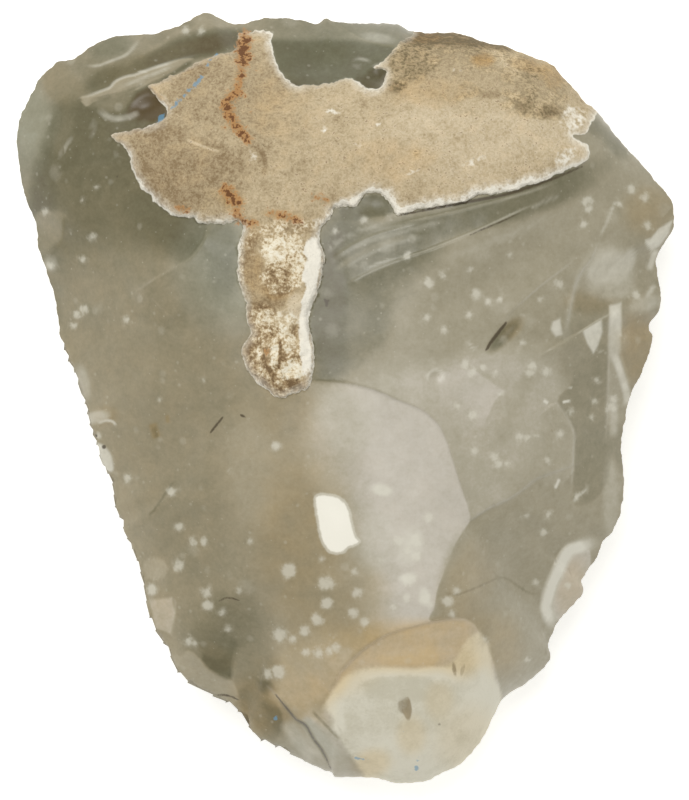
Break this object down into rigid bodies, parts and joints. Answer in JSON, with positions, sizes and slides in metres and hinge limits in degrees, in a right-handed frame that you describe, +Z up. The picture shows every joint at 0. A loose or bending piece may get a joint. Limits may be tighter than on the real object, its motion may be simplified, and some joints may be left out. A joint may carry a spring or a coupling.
{
  "type": "flint nodule",
  "caption": "Knapped flint nodule lying on its back: grey-brown glassy scars, a patch of chalky tan skin, a white chalk tip.",
  "frame": {"origin": "middle of the stone's box in plan, at the height of the flat spot that it rests on", "axes": "+Z up out of the best face, +Y along the length towards the broad end, +X to the right of the best face"},
  "size_m": [0.128, 0.15, 0.05],
  "materials": {
    "flint": "grey-brown flint with a waxy gloss, chalky skin in a patch on top"
  },
  "bodies": {
    "root": {"flint_nodule": "flint"}
  },
  "joints": []
}
